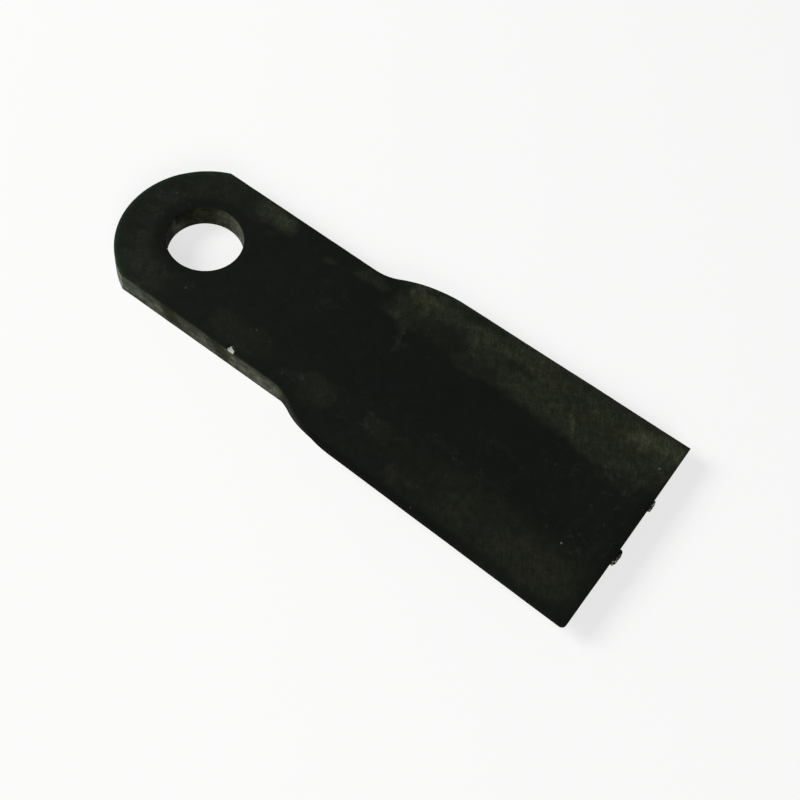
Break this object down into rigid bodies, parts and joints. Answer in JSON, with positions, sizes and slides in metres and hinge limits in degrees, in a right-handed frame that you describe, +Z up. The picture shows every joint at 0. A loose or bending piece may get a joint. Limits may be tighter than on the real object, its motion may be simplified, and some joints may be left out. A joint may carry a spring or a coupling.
{
  "type": "mulcher blade",
  "caption": "Forged flat swing blade for a mulcher: round head with a plain pivot hole, straight bar, and a flared, thin-edged paddle with a sheared tip.",
  "frame": {"origin": "middle of the blade's base, on the plane it lies on", "axes": "+X along the blade from the pivot hole to the sheared tip, +Y across it, +Z up out of the upper face"},
  "size_m": [0.2717, 0.1052, 0.012],
  "materials": {
    "black_paint": "satin black paint over hammer-forged steel, a little scuffed, dusty and chipped"
  },
  "bodies": {
    "root": {"mulcher_blade": "black_paint"}
  },
  "joints": []
}
